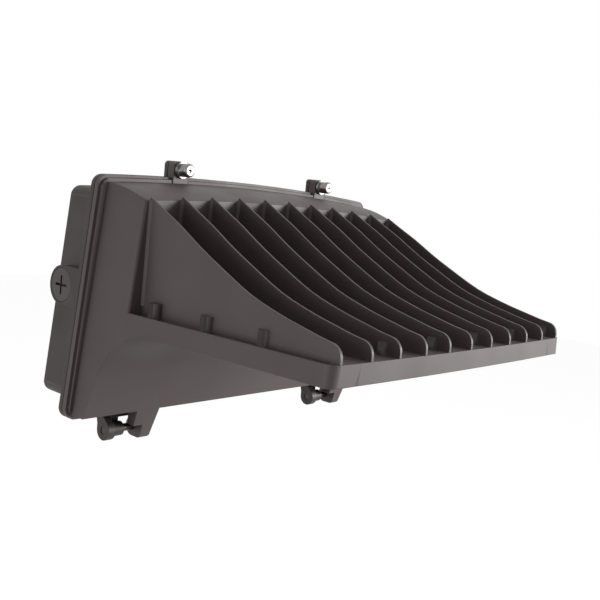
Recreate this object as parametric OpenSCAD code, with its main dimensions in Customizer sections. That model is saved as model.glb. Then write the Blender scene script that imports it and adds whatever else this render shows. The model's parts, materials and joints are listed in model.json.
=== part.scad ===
// Wall pack light: a cast hood with cooling fins, hinged at its foot to a cast wall box.
// The wall is the plane y = 0 and the light stands out of it towards -Y.
// The axis of the side conduit holes and of the rear wiring hole is z = 0.

/* [Housing outline] */
// Half width of the flanges at the height of the conduit holes
flange_half_w = 162; // [150:0.5:175]
// Lean of the flange sides, wider at the foot
flange_lean = 4.9; // [3:0.1:6]
// Height of the flange top above the conduit holes, at its corners
flange_top = 83.5; // [80:0.5:95]
// Extra height of the flange top at its middle
top_rise = 5.5; // [3:0.5:9]
// Depth of the flange foot below the conduit holes
flange_bottom = 94.5; // [90:0.5:105]
// Radius of the flange corners
flange_corner_r = 9; // [5:0.5:14]

/* [Wall box] */
// Depth of the box behind its flange
box_depth = 38.5; // [35:0.5:60]
// Thickness of the box flange
rear_flange_t = 4; // [3:0.2:6]
// How far the box walls stand in from the flange edge
box_inset = 10; // [8:0.5:14]
// Thickness of the box walls and back
box_wall = 3; // [2:0.2:4.5]
// Diameter of the wiring hole in the back
wiring_hole_d = 22.5; // [20:0.5:28]
// Width between the wall screw holes
wall_screw_x = 220; // [180:1:240]
// Height between the wall screw holes
wall_screw_z = 110; // [80:1:120]
// Diameter of the wall screw holes
wall_screw_d = 6.5; // [5:0.1:8]
// Spacing of the two junction box holes
box_screw_x = 88.9; // [70:0.1:100]
// Diameter of the junction box holes
box_screw_d = 5; // [4:0.1:6]

/* [Conduit hubs] */
// How far the hubs stand out of the box's sides
hub_out = 7.5; // [5:0.5:10]
// Distance of the hub axis from the wall
hub_y = 15.8; // [15.4:0.1:20]
// Outer radius of a hub
hub_r = 14.6; // [14:0.1:15.2]
// Length of a hub bore
hub_bore_l = 16; // [12:0.5:20]
// Radius of the plug's threaded shank
plug_shank_r = 10.2; // [9:0.1:10.6]
// Radius of the plug's head
plug_head_r = 12.6; // [12:0.1:13]
// Thickness of the plug's head
plug_head_t = 2.4; // [2:0.1:3]
// Length of the plug's shank under its seal
plug_shank_l = 10; // [6:0.5:12]
// Length of an arm of the cross slot in the plug
plug_slot_l = 14; // [10:0.5:17]
// Width of the cross slot in the plug
plug_slot_w = 2; // [1.5:0.1:3]
// Thickness of the plug's rubber seal
plug_seal_t = 1.6; // [1:0.1:2.5]

/* [Door casting] */
// How far the casting's sides stand in from the flange's sides, at the wall plane
body_inset = 7; // [6:0.2:10]
// Lean of the casting's sides
body_lean = 5.54; // [4:0.1:6]
// Narrowing of the casting towards its front
body_taper = 1.9; // [0.8:0.05:2.2]
// How far the casing spreads further at the rim, on each side
body_flare = 3.2; // [0.5:0.1:3.8]
// Distance of the fin root wall from the house wall
root_y = 89.2; // [85:0.5:110]
// Height of the shoulder at the flange, at the sides
shoulder_z = 79.4; // [76:0.1:81]
// Fall of the shoulder beside the flange
shoulder_start = 2; // [0:0.5:6]
// Fall of the shoulder above the fins
shoulder_fall = 24; // [16:0.5:26]
// Wall thickness of the casting
door_wall = 3; // [2.4:0.1:4]
// Thickness of the door's rim
rim_t = 4.2; // [3.8:0.1:6]
// Height of the raised step on the rim
ridge_t = 2; // [1:0.1:3]
// How far the raised step stands in from the rim's edge
ridge_inset = 2.2; // [1.5:0.1:3]
// Radius of the casting's upright front edges
body_edge_r = 2.5; // [2:0.5:8]
// Depth of the casting's lower part below the hub axis
body_bottom = 90.5; // [86:0.5:93]
// Radius of the cove below the hood
cove_r = 45; // [35:1:50]
// Lean of the lower front face below the cove
cove_lean = 13.7; // [8:0.5:18]
// Distance of the cove's centre from the wall
cove_y = 113; // [110:0.5:118]

/* [Hood and fins] */
// Distance of the lip's ends from the wall
lip_y = 268.4; // [240:0.5:300]
// How far the lip bows forward at its middle
lip_bow = 2.9; // [0:0.1:6]
// Depth of the hood's deck below the hub axis
deck_z = 9.3; // [6:0.1:14]
// Height of the hood's edge band
band_h = 13.5; // [11:0.1:18]
// Radius of the hood's front corners
lip_corner_r = 7; // [4:0.5:12]
// Thickness of the deck
deck_t = 3.5; // [2.5:0.1:4]
// Number of cooling fins
fin_count = 11; // [5:2:13]
// From the middle of an outer fin to the hood's side
fin_margin = 12.9; // [10:0.1:20]
// Thickness of a fin
fin_t = 2; // [1.5:0.1:3]
// Height of the outer fins above the deck, at their roots
fin_rise = 80.6; // [60:0.5:82]
// Extra height of the middle fin
fin_arch = 6.2; // [2:0.2:7]
// Radius of the fins' front corners
fin_corner_r = 9; // [6:0.5:9.5]
// Radius of the posts beside the left-hand outer fin
post_r = 5; // [3:0.1:5.4]
// Distance of these posts' middles from the hood's side
post_inset = 9.4; // [9:0.1:10]
// Height of the posts
post_h = 9.5; // [6:0.5:11]
// Depth of the trough beside the outer fins
trough_depth = 1.6; // [0.5:0.1:2]
// Width of the band beside the trough
band_t = 3; // [2.4:0.1:4]

/* [Latches] */
// Half distance between the two latches
latch_x = 83; // [60:1:110]
// Height of the latch screws above the hub axis
latch_z = 93.2; // [92.6:0.1:98]
// Width of a latch lug
lug_w = 15; // [13:0.5:18]
// Height of a lug above its screw
lug_above = 6.4; // [5:0.1:8]
// Thickness of the door's lug
door_lug_t = 7; // [6:0.2:9]
// Radius of the lugs' top corners
lug_corner_r = 3.6; // [1:0.1:5]
// Diameter of the latch screws
latch_screw_d = 6; // [5:0.5:6]
// Thickness of the latch washers
latch_washer_t = 1.4; // [1:0.1:2]
// Outer radius of the latch washers
latch_washer_r = 6.6; // [6:0.1:7]
// Radius of a latch screw's head
latch_head_r = 5.2; // [4:0.1:6]
// Height of a latch screw's head
latch_head_h = 8; // [3:0.1:9]
// Thickness of the collar under a latch screw's head
latch_collar_t = 1.2; // [0.8:0.1:2]

/* [Hinges] */
// From the flange's sides to the middles of the hinges
hinge_inset = 44.6; // [40:0.2:60]
// Distance of the hinge axis from the wall
hinge_y = 45.5; // [44:0.5:48]
// Depth of the hinge axis below the hub axis
hinge_z = 107; // [106:0.5:110]
// Radius of the hinge eyes
hinge_r = 7.7; // [6:0.1:8]
// Width of a whole hinge, at the foot of the door's arm
hinge_w = 33; // [32:0.5:38]
// Thickness of a box ear
ear_t = 6; // [4:0.5:8]
// Length of the barrel beside the ear
barrel_l = 9.5; // [6:0.5:10]
// Radius of the barrel
barrel_r = 5.6; // [5:0.1:6.5]
// Diameter of the hinge pins
pin_d = 6; // [4:0.5:7]
// Thickness of a door arm's eye
arm_eye_t = 6; // [4:0.5:8]
// Thickness of a door arm's front web
arm_web_t = 5.5; // [4:0.5:6]

/* [Lens and light board] */
// From the lens to the hood's sides
lens_margin = 25.9; // [20:0.1:50]
// Depth of the lens, front to back
lens_d = 118; // [90:1:124]
// Distance of the lens middle from the wall
lens_y = 190; // [186:1:194]
// Thickness of the lens
lens_t = 3; // [2.4:0.1:3.2]
// Width of the ledge that carries the lens
lens_ledge = 9; // [7:0.5:12]
// Thickness of the lens gasket
lens_gasket_t = 1; // [0.6:0.1:1.2]
// Thickness of the lens frame
lens_frame_t = 1.2; // [1:0.1:1.5]
// Thickness of the light board
board_t = 1.6; // [1:0.1:2]
// Rows of light sources, front to back
led_rows = 4; // [2:1:6]
// Columns of light sources
led_columns = 10; // [4:1:14]
// Width of a light source
led_w = 3.5; // [2:0.5:5]
// Height of a light source
led_h = 1.1; // [0.5:0.1:1.4]

/* [Driver and wiring] */
// Width of the driver
driver_w = 150; // [100:1:160]
// Height of the driver
driver_h = 52; // [40:1:60]
// Depth of the driver
driver_d = 30; // [20:1:34]
// Width of the terminal block
terminal_w = 46; // [30:1:60]
// Diameter of a lead
lead_d = 2.4; // [1.6:0.1:3]

/* [Fits] */
// Radial clearance of a running fit
run_fit = 0.08; // [0.02:0.01:0.1]
// Clearance between pieces that don't touch
clear = 0.3; // [0.3:0.05:0.5]

/* [Hidden] */

// One overrun serves every cut that passes through a face
over = 5;
// Thickness of the slices that a hull joins
slice = 0.02;
// Facets of a whole circle
facets = 48;
// Chords along the arched top and along the bowed lip
arch_steps = 12;
// Chords in a rounded corner of an outline
corner_steps = 6;
// Chords between two points of the fins' swoop
swoop_steps = 3;
// Chords across the rounded shoulder
fall_steps = 5;

// What follows the width of the flanges
body_half_w = flange_half_w - body_inset;
hub_half_w = flange_half_w - box_inset + hub_out;
hinge_x = flange_half_w - hinge_inset;

// Layers from the wall outwards
rear_flange_y = box_depth + rear_flange_t;
rim_y = rear_flange_y + 2 * clear;
door_lug_y = rim_y + door_lug_t;

// Left edge of a door arm from the hinge's left end, and how far its top flares
arm_left = ear_t + barrel_l + pin_d / 2;
arm_flare = hinge_r;

// Housing gasket in its groove
gasket_inset = 5;
gasket_w = 3.4;
gasket_depth = 2.5;

// Heights below the hub axis, in the hood
band_z = deck_z + band_h;
cove_z = band_z + cove_r;
frame_z = band_z - clear - lens_frame_t;
lens_z = frame_z - lens_t;
ledge_z = lens_z - lens_gasket_t;
pocket_z = deck_z + deck_t;
board_z = pocket_z + board_t;

// Distance of the cavity's front face from the house wall
inner_y = root_y - door_wall;
fin_last = (fin_count - 1) / 2;
fin_pitch = (side_x(-root_y, -deck_z) - fin_margin) / fin_last;
fin_span = fin_last * fin_pitch;
fin_reach = lip_y - root_y;
// The fins' top edge: shares of the reach from the root, and of the rise at the root
swoop_shares = [[0, 1], [0.09, 0.897], [0.183, 0.794], [0.299, 0.65], [0.415, 0.521],
    [0.577, 0.356], [0.727, 0.255], [0.821, 0.206], [0.91, 0.162]];
// Height of the fins' front end, a share of the rise at the root
fin_front_share = 0.127;
// The side posts' places, shares of the reach from the root
side_post_shares = [0.094, 0.381, 0.663];
// The front posts' place, a share of the reach from the root
front_post_share = 0.935;

// Fillet on the left of each fin's root
root_fillet = 1.4;
// Radius of the posts near the lip
front_post_r = 3.5;

// Border of the lens frame outside the lens
frame_border = 7;
lens_w = 2 * (side_x(-lens_y, -band_z) - lens_margin);
// Light board in its pocket, and how far it stands in from the lens's ledge, sideways and front to back
board_inset = 3;
board_gap = 7;
board_w = lens_w - 2 * (lens_ledge + board_inset);
board_d = lens_d - 2 * (lens_ledge + board_gap);
// Width of the lead passage
passage_w = 9;

// Small screws
small_screw_r = 1.5;
small_head_r = 3;
small_head_h = 1.2;
// How far the lens frame screws and the wall screws bite
frame_screw_l = 6;
wall_bite = 2.2;

// Driver and its tabs, and the terminal block
driver_x = -20;
driver_foot = 4;
tab_l = 12;
tab_t = 2;
terminal_x = -60;
terminal_foot = -24;
terminal_h = 18;
terminal_d = 16;

// Sides of a lead, and rings from one point of its route to the next
lead_sides = 8;
lead_steps = 3;

// Earth screw and its boss
ground_x = 70;
ground_drop = 50;
ground_boss_r = 5;
ground_boss_h = 8;
ground_screw_r = 2;

// Side planes of the door casting
function side_x(y, z) = body_half_w - z * tan(body_lean) + y * tan(body_taper);
// Sides of the two flanges
function flange_x(z) = flange_half_w - z * tan(flange_lean);

// A corner b between a and c, rounded by radius r
function corner_arc(a, b, c, r) =
    let (u = (a - b) / norm(a - b), v = (c - b) / norm(c - b))
    let (half = acos(u * v) / 2, centre = b + (u + v) / norm(u + v) * r / sin(half))
    let (p = b + u * r / tan(half) - centre, q = b + v * r / tan(half) - centre)
    let (start = atan2(p.y, p.x), turn = (atan2(q.y, q.x) - start + 540) % 360 - 180)
    [for (i = [0:corner_steps]) centre + r * [cos(start + turn * i / corner_steps),
        sin(start + turn * i / corner_steps)]];

// An outline whose corners have the radii that a list gives, 0 for a sharp one
function rounded(points, radii) =
    let (n = len(points))
    [for (i = [0:n - 1]) each radii[i] == 0 ? [points[i]]
        : corner_arc(points[(i + n - 1) % n], points[i], points[(i + 1) % n], radii[i])];

// A smooth curve through a list of points
function smooth_curve(points, steps) =
    let (last = len(points) - 1)
    [for (i = [0:last - 1], k = [0:steps - 1])
        let (a = points[max(i - 1, 0)], b = points[i], c = points[i + 1])
        let (d = points[min(i + 2, last)], t = k / steps)
        0.5 * (2 * b + (c - a) * t + (2 * a - 5 * b + 4 * c - d) * t * t
            + (3 * b - a - 3 * c + d) * t * t * t),
        points[last]];

// The flange outline, drawn in by an inset, with its arched top
function flange_points(inset, r) =
    let (foot = inset - flange_bottom, top = flange_top - inset)
    let (wf = flange_x(foot) - inset, wt = flange_x(top) - inset)
    rounded(concat([[-wf, foot], [wf, foot]],
        [for (i = [0:arch_steps]) let (x = wt * (1 - 2 * i / arch_steps))
            [x, top + top_rise * (1 - pow(x / wt, 2))]]),
        concat([r, r, r], [for (i = [1:arch_steps - 1]) 0], [r]));

// The casting's plan outline at a height z, between two distances from the wall, spread at its back
function plan_points(z, back, front, inset, r, bow, spread) =
    let (wb = side_x(-back, z) + spread - inset, wf = side_x(-front, z) - inset)
    rounded(concat([[-wb, -back]],
        [for (i = [0:arch_steps]) let (x = wf * (2 * i / arch_steps - 1))
            [x, -front - bow * (1 - pow(x / wf, 2))]],
        [[wb, -back]]),
        concat([0, r], [for (i = [1:arch_steps - 1]) 0], [r, 0]));

// The fins' height above the deck at their roots, a distance x from the middle
function rise_at(x) = fin_rise + fin_arch * (1 - pow(x / fin_span, 2));
// Distance of the lip from the wall, a distance x from the middle
function lip_at(x) = lip_y + lip_bow * (1 - pow(x / side_x(-lip_y, -deck_z), 2));

// A flat plate of an outline in the XZ plane, from a distance off the wall outwards
module slab(points, from, thick) {
    translate([0, -from, 0]) rotate([90, 0, 0]) linear_extrude(thick) polygon(points);
}

// A prism along X of an outline in the YZ plane
module side_prism(points, from, wide) {
    translate([from, 0, 0]) rotate([90, 0, 90]) linear_extrude(wide) polygon(points);
}

// A round bar along X, and one along -Y
module x_bar(x, y, z, r, l) {
    translate([x, -y, z]) rotate([0, 90, 0]) cylinder(r = r, h = l, $fn = facets);
}
module y_bar(x, y, z, r, l) {
    translate([x, -y, z]) rotate([90, 0, 0]) cylinder(r = r, h = l, $fn = facets);
}

// Both sides of a symmetrical pair
module both_sides() {
    for (side = [0, 1]) mirror([side, 0, 0]) children();
}

// Both hinges: the right one is a plain copy of the left one, so each ear is on the left
module at_hinges() {
    for (side = [-1, 1]) translate([side * hinge_x - hinge_w / 2, 0, 0]) children();
}

// Wall box with its flange, hubs, hinge ears and latch lugs
module rear_housing() {
    color("#443f3e") difference() {
        union() {
            difference() {
                union() {
                    slab(flange_points(box_inset, flange_corner_r), 0, rear_flange_y);
                    slab(flange_points(0, flange_corner_r), box_depth, rear_flange_t);
                }
                slab(flange_points(box_inset + box_wall, flange_corner_r), box_wall, rear_flange_y);
            }
            both_sides() hub();
            for (side = [-1, 1]) lug(side * latch_x, box_depth, rear_flange_t);
            at_hinges() ear();
            at_hinges() hinge_web();
            y_bar(ground_x, 0, -ground_drop, ground_boss_r, box_wall + ground_boss_h);
        }
        y_bar(0, -over, 0, wiring_hole_d / 2, box_wall + 2 * over);
        for (x = [-1, 1], z = [-1, 1]) {
            y_bar(x * wall_screw_x / 2, -over, z * wall_screw_z / 2, wall_screw_d / 2,
                box_wall + 2 * over);
        }
        for (x = [-1, 1]) {
            y_bar(x * box_screw_x / 2, -over, 0, box_screw_d / 2, box_wall + 2 * over);
            y_bar(x * latch_x, box_depth - over, latch_z, latch_screw_d / 2 + clear,
                rear_flange_t + 2 * over);
        }
        both_sides() hub_bore();
        at_hinges() x_bar(-over, hinge_y, -hinge_z, pin_d / 2 + run_fit, ear_t + barrel_l + 2 * over);
        y_bar(ground_x, box_wall, -ground_drop, ground_screw_r + run_fit, ground_boss_h + over);
    }
}

// A conduit hub on the right-hand wall: round towards the house wall, straight to the flange
module hub() {
    inside = hub_half_w - hub_bore_l;
    x_bar(inside, hub_y, 0, hub_r, hub_bore_l);
    translate([inside, -rear_flange_y, -hub_r]) {
        cube([hub_bore_l, rear_flange_y - hub_y, 2 * hub_r]);
    }
}

// The hub's bore, with the seat for the plug's seal and head
module hub_bore() {
    seat = plug_head_t + plug_seal_t;
    x_bar(hub_half_w - hub_bore_l - over, hub_y, 0, plug_shank_r + run_fit, hub_bore_l + 2 * over);
    x_bar(hub_half_w - seat, hub_y, 0, plug_head_r + clear, seat + over);
}

// A latch lug's plate, standing on the arched top of a flange
module lug(x, from, thick) {
    top = latch_z + lug_above;
    foot = flange_top - box_wall;
    slab(rounded([[x - lug_w / 2, foot], [x + lug_w / 2, foot], [x + lug_w / 2, top],
        [x - lug_w / 2, top]], [0, 0, lug_corner_r, lug_corner_r]), from, thick);
}

// A box ear with its barrel, drawn from the hinge's left end
module ear() {
    lean = hinge_r * cos(45);
    back = hinge_y - hinge_r;
    root = box_inset - flange_bottom;
    side_prism([[-back + ear_t, root + slice], [-rear_flange_y, root],
        [-rear_flange_y, -flange_bottom - 3 * clear], [-hinge_y - lean, -hinge_z + lean],
        [-hinge_y, -hinge_z], [-back, -hinge_z], [-back, -hinge_z + hinge_r / 2],
        [-back + ear_t / 2, -flange_bottom]], 0, ear_t);
    x_bar(0, hinge_y, -hinge_z, hinge_r, ear_t);
    x_bar(0, hinge_y, -hinge_z, barrel_r, ear_t + barrel_l);
}

// The web behind a hinge: the box's flange runs down to the barrel, and stays clear of the arm's eye
module hinge_web() {
    top = box_wall - flange_bottom;
    right = ear_t + barrel_l;
    slab([[0, top], [0, -hinge_z], [right, -hinge_z], [right, -hinge_z + hinge_r],
        [hinge_w + arm_flare, -hinge_z + hinge_r], [hinge_w + arm_flare, top]], box_depth, rear_flange_t);
}

// A door arm, drawn from the hinge's left end: its front runs on from the lower front face
module arm() {
    top = door_wall - body_bottom;
    low = -hinge_z - hinge_r;
    back = -rim_y - pin_d / 6;
    intersection() {
        union() {
            side_prism(rounded([[face_y(top), top], [back, top], [back, -hinge_z + hinge_r * cos(45)],
                [-hinge_y, -hinge_z], [-hinge_y, low], [face_y(low), low]],
                [0, 0, 0, 0, 0, hinge_r / 2]), arm_left, hinge_w - arm_left + arm_flare);
            x_bar(arm_left, hinge_y, -hinge_z, hinge_r, hinge_w - arm_left + arm_flare);
        }
        slab([[arm_left, top + slice], [arm_left, low - over], [hinge_w + arm_flare / 4, low - over],
            [hinge_w + arm_flare, top + slice]], 0, 2 * hinge_y);
    }
}

// What is cut from an arm: the space behind and below its web, and the pin's bore
module arm_space() {
    left = ear_t + barrel_l;
    wide = hinge_w - arm_eye_t - left;
    web_back = hinge_y + 1.5 * pin_d / 2;
    web_foot = hinge_z - hinge_r / 2;
    translate([left, -web_back, -hinge_z - 2 * hinge_r]) {
        cube([wide, 2 * hinge_r, 2 * hinge_r + hinge_z - flange_bottom]);
    }
    translate([left, -web_back - 2 * hinge_r, -web_foot - 3 * hinge_r]) {
        cube([wide, 3 * hinge_r, 3 * hinge_r]);
    }
    x_bar(left, hinge_y, -hinge_z, pin_d / 2 + run_fit, hinge_w + hinge_r);
}

// Points of the cove's arc, for a wall inset, from a distance off the house wall downwards
function cove_points(inset, from) =
    let (r = cove_r + inset, start = acos((cove_y - from) / r))
    [for (i = [0:arch_steps]) let (a = start + (cove_lean - start) * i / arch_steps)
        [-cove_y + r * cos(a), -cove_z + r * sin(a)]];
// Place of the lower front face at a height z
function face_y(z, inset = 0) =
    -cove_y + (cove_r + inset) * cos(cove_lean)
        + ((cove_r + inset) * sin(cove_lean) - cove_z - z) * tan(cove_lean);

// The casting's outline from the side, extruded across it
module outer_profile() {
    top = shoulder_z + top_rise + over;
    front = lip_y + lip_bow + over;
    side_prism(concat([[-rim_y, -body_bottom], [-rim_y, top], [-root_y, top], [-root_y, -deck_z],
        [-front, -deck_z], [-front, -band_z]], cove_points(0, cove_y),
        [[face_y(-body_bottom), -body_bottom]]), -flange_half_w - over, 2 * (flange_half_w + over));
}

// The cavity's outline from the side, extruded across it
module inner_profile() {
    top = shoulder_z + top_rise + over;
    foot = door_wall - body_bottom;
    side_prism(concat([[over - rim_y, foot], [over - rim_y, top], [-inner_y, top]],
        cove_points(door_wall, inner_y), [[face_y(foot, door_wall), foot]]),
        -flange_half_w - over, 2 * (flange_half_w + over));
}

// Everything below the shoulder, lowered by a wall inset: arched across, and rounded off outwards
module below_shoulder(inset) {
    half = side_x(-rim_y, shoulder_z);
    r = (half * half + top_rise * top_rise) / (2 * top_rise);
    bend = (root_y - rim_y) / (sin(shoulder_fall) - sin(shoulder_start));
    falls = [for (i = [0:fall_steps]) shoulder_start + (shoulder_fall - shoulder_start) * i / fall_steps];
    rounding = [for (a = falls) [r - inset - bend * (cos(shoulder_start) - cos(a)),
        bend * (sin(a) - sin(shoulder_start))]];
    translate([0, -rim_y, shoulder_z + top_rise - r]) rotate([90, 0, 0]) {
        rotate_extrude($fn = 15 * facets) {
            polygon(concat([[0, -over], [r - inset, -over]], rounding, [[0, root_y - rim_y]]));
        }
    }
}

// The casting's block between its leaning sides, from a height to another
module plan_block(back, front, low, high, inset, r, bow, spread) {
    hull() {
        for (z = [low, high - slice]) {
            translate([0, 0, z]) linear_extrude(slice) {
                polygon(plan_points(z, back, front, inset, r, bow, spread));
            }
        }
    }
}

// One fin, a distance x from the middle, with the fillet on the left of its root
module fin(x) {
    rise = rise_at(x);
    reach = lip_at(x) - root_y - fin_t / 4;
    foot = -deck_z - deck_t / 2;
    curve = smooth_curve([for (s = swoop_shares) [-root_y - s.x * reach, -deck_z + s.y * rise]],
        swoop_steps);
    nose = [-root_y - reach, -deck_z + fin_front_share * rise];
    points = concat([[-inner_y - door_wall / 2, foot], [-inner_y - door_wall / 2, -deck_z + rise
        - door_wall]], curve, corner_arc(curve[len(curve) - 1], nose, [nose.x, foot], fin_corner_r),
        [[nose.x, foot]]);
    side_prism(points, x - fin_t / 2, fin_t);
    translate([x, -root_y, foot]) linear_extrude(rise - fin_t - foot - deck_z) {
        polygon([[0, 0.5 * fin_t], [-fin_t / 2 - root_fillet, 0.5 * fin_t], [-fin_t / 2 - root_fillet, 0],
            [-fin_t / 2, -1.5 * root_fillet], [0, -1.5 * root_fillet]]);
    }
}

// The posts cast on the left of the fins, those beside the outer fin in a line with the hood's side
module posts() {
    foot = -deck_z - trough_depth - deck_t / 4;
    for (s = side_post_shares) {
        y = -root_y - s * fin_reach;
        translate([post_inset - side_x(y, -deck_z), y, foot]) {
            cylinder(r = post_r, h = -deck_z + post_h - foot, $fn = facets);
        }
    }
    for (i = [2:2:fin_count - 1]) {
        translate([(i - fin_last) * fin_pitch - fin_t / 2, -root_y - front_post_share * fin_reach,
            foot]) {
            cylinder(r = front_post_r, h = -deck_z + post_h * 0.85 - foot, $fn = facets);
        }
    }
}

// The trough between the right-hand outer fin and the side band
module trough() {
    tip = lip_y - lip_corner_r;
    inner = fin_span + fin_t / 2;
    translate([0, 0, -deck_z - trough_depth]) linear_extrude(trough_depth + over) {
        polygon([[inner, -root_y], [side_x(-root_y, -deck_z) - band_t, -root_y],
            [side_x(-tip, -deck_z) - band_t, -tip], [inner, -tip]]);
    }
}

// A box around the lens's middle, wider by a growth, between two depths below the hub axis
module lens_box(grow, high, low) {
    translate([-lens_w / 2 - grow, -lens_y - lens_d / 2 - grow, -low]) {
        cube([lens_w + 2 * grow, lens_d + 2 * grow, low - high]);
    }
}

// The slot that takes the leads from the casing to the light board
module passage() {
    translate([-passage_w / 2, -lens_y, -ledge_z + clear]) {
        cube([passage_w, lens_y - inner_y + over, ledge_z - pocket_z - 2 * clear]);
    }
}

// Places of the screws
module frame_screw_spots() {
    for (x = [-1:2 / 3:1], y = [-1, 1]) {
        translate([x * (lens_w / 2 - lens_ledge), -lens_y + y * (lens_d / 2 + frame_border / 2), 0]) {
            children();
        }
    }
}
module board_screw_spots() {
    for (x = [-1, 0, 1], y = [-1, 1]) {
        translate([x * (board_w / 2 - small_head_r), -lens_y + y * (board_d / 2 - small_head_r), 0]) {
            children();
        }
    }
}
module driver_screw_spots() {
    for (side = [-1, 1]) {
        translate([driver_x + side * (driver_w / 2 + tab_l / 2), 0, driver_foot + driver_h / 2]) {
            children();
        }
    }
}
module terminal_screw_spots() {
    for (side = [-1, 1]) {
        translate([terminal_x + side * (terminal_w / 2 - 2.5 * small_screw_r), 0,
            terminal_foot + terminal_h / 2]) {
            children();
        }
    }
}

// A screw that points up, its head's top face at z = 0
module up_screw(length) {
    cylinder(r = small_screw_r, h = length, $fn = facets);
    difference() {
        translate([0, 0, -small_head_h]) cylinder(r = small_head_r, h = small_head_h, $fn = facets);
        cross_recess(-small_head_h, small_head_r);
    }
}

// A cross recess cut up into a head from its outer face
module cross_recess(face, r) {
    wide = r / 4;
    for (turn = [0, 90]) {
        rotate([0, 0, turn]) translate([-r / 2, -wide / 2, face - over]) cube([r, wide, over + r / 4]);
    }
}

// The tapped hole for such a screw
module up_hole(depth) {
    translate([0, 0, -over]) cylinder(r = small_screw_r + run_fit, h = depth + over, $fn = facets);
}

// The hinged door: casing, hood, fins, latch lugs and hinge arms in one casting
module front_housing() {
    color("#524c4b") union() {
        difference() {
            union() {
                slab(flange_points(0, flange_corner_r), rim_y, rim_t);
                slab(flange_points(ridge_inset, flange_corner_r - ridge_inset / 2), rim_y,
                    rim_t + ridge_t);
                intersection() {
                    plan_block(rim_y, root_y, -body_bottom, shoulder_z + top_rise, 0, body_edge_r, 0,
                        body_flare);
                    outer_profile();
                    below_shoulder(0);
                }
                intersection() {
                    plan_block(rim_y, lip_y, -body_bottom, -deck_z, 0, lip_corner_r, lip_bow, 0);
                    outer_profile();
                }
                for (i = [-fin_last:fin_last]) fin(i * fin_pitch);
                for (side = [-1, 1]) lug(side * latch_x, rim_y, door_lug_t);
                at_hinges() arm();
            }
            intersection() {
                plan_block(rim_y - over, root_y, -body_bottom, shoulder_z + top_rise, door_wall, 0, 0, 0);
                inner_profile();
                below_shoulder(door_wall);
            }
            difference() {
                slab(flange_points(gasket_inset - clear, flange_corner_r), rim_y - over,
                    gasket_depth + over);
                slab(flange_points(gasket_inset + gasket_w + clear, flange_corner_r), 0, 2 * rim_y);
            }
            both_sides() trough();
            lens_box(clear, ledge_z, band_z + over);
            lens_box(frame_border + clear, frame_z, band_z + over);
            lens_box(-lens_ledge, pocket_z, band_z + over);
            passage();
            for (x = [-1, 1]) {
                y_bar(x * latch_x, rim_y - over, latch_z, latch_screw_d / 2 + run_fit,
                    door_lug_t + 2 * over);
            }
            at_hinges() arm_space();
            frame_screw_spots() translate([0, 0, -frame_z]) up_hole(frame_screw_l);
            board_screw_spots() translate([0, 0, -pocket_z]) up_hole(deck_t - clear * 3);
            driver_screw_spots() wall_screw_hole();
            terminal_screw_spots() wall_screw_hole();
        }
        posts();
    }
}

// A screw that points out of the casing's front wall, and its hole
module wall_screw(tab) {
    translate([0, tab - inner_y, 0]) rotate([90, 0, 0]) up_screw(tab + wall_bite);
}
module wall_screw_hole() {
    translate([0, -inner_y, 0]) rotate([90, 0, 0]) up_hole(wall_bite + clear);
}

// Rubber ring in the door's groove
module housing_gasket() {
    color("#2b2b2b") difference() {
        slab(flange_points(gasket_inset, flange_corner_r), rear_flange_y + clear,
            rim_y + gasket_depth - rear_flange_y - clear);
        slab(flange_points(gasket_inset + gasket_w, flange_corner_r), 0, 2 * rim_y);
    }
}

// Steel hinge pins
module hinge_pin(side) {
    short = pin_d / 12;
    color("#8d8f92") x_bar(side * hinge_x - hinge_w / 2 + short, hinge_y, -hinge_z, pin_d / 2,
        hinge_w + arm_flare / 4 - short);
}
module hinge_pin_left() { hinge_pin(-1); }
module hinge_pin_right() { hinge_pin(1); }

// Washer under a latch screw's head
module latch_washer(side) {
    color("#c9cbcc") difference() {
        y_bar(side * latch_x, door_lug_y, latch_z, latch_washer_r, latch_washer_t);
        y_bar(side * latch_x, door_lug_y - over, latch_z, latch_screw_d / 2 + run_fit,
            latch_washer_t + 2 * over);
    }
}
module latch_washer_left() { latch_washer(-1); }
module latch_washer_right() { latch_washer(1); }

// Captive latch screw with a collared cheese head and a cross recess
module latch_screw(side) {
    seat = door_lug_y + latch_washer_t;
    head = seat + latch_collar_t;
    color("#d5d7d8") {
        y_bar(side * latch_x, box_depth, latch_z, latch_screw_d / 2, seat - box_depth);
        y_bar(side * latch_x, seat, latch_z, latch_washer_r - clear, latch_collar_t);
        translate([side * latch_x, -head, latch_z]) rotate([90, 0, 0]) difference() {
            cylinder(r = latch_head_r, h = latch_head_h, $fn = facets);
            translate([0, 0, latch_head_h]) mirror([0, 0, 1]) cross_recess(0, latch_head_r * 0.85);
        }
    }
}
module latch_screw_left() { latch_screw(-1); }
module latch_screw_right() { latch_screw(1); }

// Rubber seal under a conduit plug's head
module plug_seal_right() {
    color("#262626") difference() {
        x_bar(hub_half_w - plug_head_t - plug_seal_t, hub_y, 0, plug_head_r, plug_seal_t);
        x_bar(0, hub_y, 0, plug_shank_r + run_fit, 2 * hub_half_w);
    }
}
module plug_seal_left() { mirror([1, 0, 0]) plug_seal_right(); }

// Conduit plug with its cross slot, flush with the hub
module conduit_plug_right() {
    seat = hub_half_w - plug_head_t;
    color("#4c4645") difference() {
        union() {
            x_bar(seat, hub_y, 0, plug_head_r, plug_head_t);
            x_bar(seat - plug_seal_t - plug_shank_l, hub_y, 0, plug_shank_r, plug_seal_t + plug_shank_l);
        }
        for (turn = [0, 90]) {
            translate([hub_half_w - plug_slot_w, -hub_y, 0]) rotate([turn, 0, 0]) {
                translate([0, -plug_slot_l / 2, -plug_slot_w / 2]) {
                    cube([plug_slot_w + over, plug_slot_l, plug_slot_w]);
                }
            }
        }
    }
}
module conduit_plug_left() { mirror([1, 0, 0]) conduit_plug_right(); }

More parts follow.
